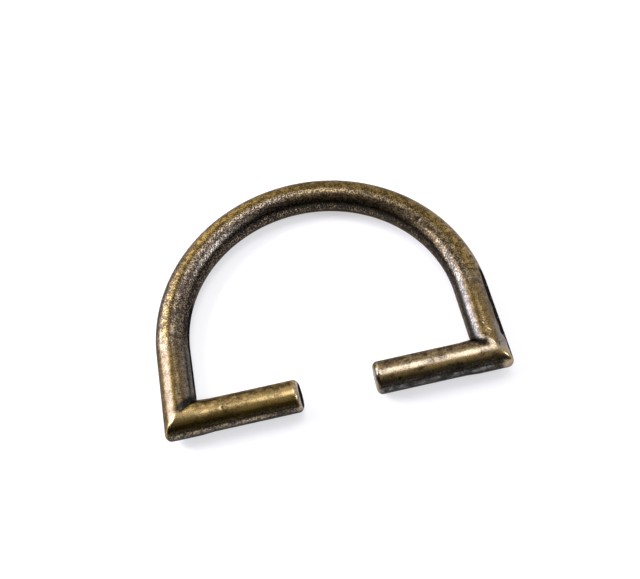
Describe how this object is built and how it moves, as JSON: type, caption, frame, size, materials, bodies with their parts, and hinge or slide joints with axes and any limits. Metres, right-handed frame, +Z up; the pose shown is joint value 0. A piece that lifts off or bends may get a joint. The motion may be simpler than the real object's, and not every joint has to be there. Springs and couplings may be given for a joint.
{
  "type": "open d ring",
  "caption": "D shaped ring of round bar with sharp mitred corners and a gap in its straight base, for slipping onto a strap loop.",
  "frame": {"origin": "under the middle of the ring's outline, on the surface that it lies on", "axes": "+X along the base from the left arm to the right arm, +Y from the base towards the arc, +Z up out of the ring's plane"},
  "size_m": [0.04, 0.0308, 0.004],
  "materials": {
    "ring": "antique brass: dark brown tarnish, rubbed through to dull gold along the top of the bar, the mitres and the end rims"
  },
  "bodies": {
    "root": {"ring": "ring"}
  },
  "joints": []
}
